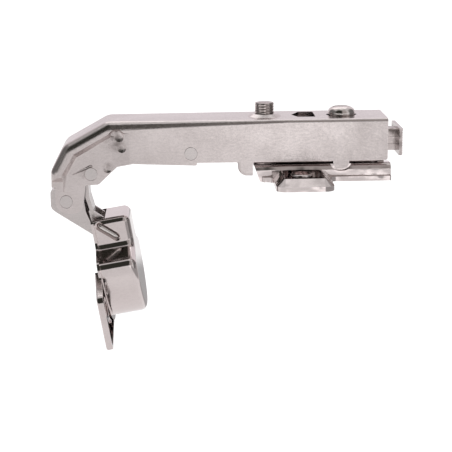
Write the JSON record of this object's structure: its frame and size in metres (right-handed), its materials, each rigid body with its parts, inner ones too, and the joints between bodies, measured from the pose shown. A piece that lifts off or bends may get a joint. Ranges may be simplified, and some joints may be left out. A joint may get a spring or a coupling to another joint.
{
  "type": "hydraulic furniture hinge",
  "caption": "Soft-closing concealed cabinet hinge with a long bent arm, a drilled-in cup, a clip-on mounting plate and a four bar linkage, shown open.",
  "frame": {"origin": "middle of the two fixing screws of the mounting plate, on the cabinet panel's face", "axes": "+X along the arm towards its tail and the release lever, +Z away from the cabinet panel, Y across; the part is symmetric about Y = 0 apart from the wire's bridge"},
  "size_m": [0.1108, 0.056, 0.0722],
  "materials": {
    "satin_nickel": "satin nickel plating on folded steel",
    "bright_nickel": "bright nickel plating on drawn steel",
    "link_steel": "nickel plated steel links",
    "zinc_screw": "nickel plated screws",
    "rivet_steel": "nickel plated rivets and pins",
    "pin_wire": "bright drawn wire",
    "spring_steel": "spring steel wire",
    "damper_tube": "drawn steel tube",
    "damper_plastic": "moulded grey acetal"
  },
  "bodies": {
    "base": {"mounting_plate": "bright_nickel", "adapter": "satin_nickel", "hook_pin": "rivet_steel", "lever_pin": "rivet_steel", "lever_spring": "spring_steel", "arm": "satin_nickel", "clamp_plate": "link_steel", "inner_pivot_rivet": "rivet_steel", "outer_pivot_rivet": "rivet_steel", "damper_rivet": "rivet_steel", "damper_cradle": "satin_nickel", "damper_cylinder": "damper_tube", "damper_end_eye": "damper_plastic", "damper_seal_cap": "damper_plastic", "closing_spring": "spring_steel"},
    "release_lever": {"release_lever": "bright_nickel"},
    "overlay_screw": {"overlay_screw": "zinc_screw"},
    "fixing_screw": {"fixing_screw": "zinc_screw"},
    "inner_link": {"inner_link": "link_steel", "damper_link_pin": "rivet_steel"},
    "outer_link": {"outer_link": "link_steel"},
    "cup": {"cup": "bright_nickel", "cup_pin": "pin_wire"},
    "damper_rod": {"damper_rod": "rivet_steel", "damper_piston": "damper_plastic"}
  },
  "joints": [
    {"name": "inner_swing", "type": "hinge", "parent": "base", "child": "inner_link", "pos_m": [-0.0652, 0, 0.0029], "axis": [0, -1, 0], "range_deg": [0, 60.2]},
    {"name": "door_swing", "type": "hinge", "parent": "inner_link", "child": "cup", "pos_m": [-0.06321, 0, -0.01364], "axis": [0, 1, 0], "range_deg": [0, 159.6]},
    {"name": "outer_swing", "type": "hinge", "parent": "base", "child": "outer_link", "pos_m": [-0.0732, 0, -0.0058], "axis": [0, -1, 0], "range_deg": [0, 27.3]},
    {"name": "damper_stroke", "type": "slide", "parent": "base", "child": "damper_rod", "axis": [-1, 0, 0], "range_m": [0, 0.00689]},
    {"name": "lever_release", "type": "hinge", "parent": "base", "child": "release_lever", "pos_m": [0.0196, 0, 0.012], "axis": [0, -1, 0], "range_deg": [0, 10], "stiffness_Nm_per_rad": 0.02, "springref_deg": -5.73},
    {"name": "overlay_turn", "type": "hinge", "parent": "base", "child": "overlay_screw", "pos_m": [-0.0104, 0, 0.0195], "axis": [0, 0, 1], "continuous": true},
    {"name": "fixing_turn", "type": "hinge", "parent": "base", "child": "fixing_screw", "pos_m": [0.0141, 0, 0.0195], "axis": [0, 0, 1], "continuous": true}
  ],
  "couplings": [
    {"joint": "inner_swing", "follows": "door_swing", "ratio": 0.37684},
    {"joint": "outer_swing", "follows": "door_swing", "ratio": 0.17035},
    {"joint": "damper_stroke", "follows": "door_swing", "m_per_rad": 0.0024644}
  ]
}
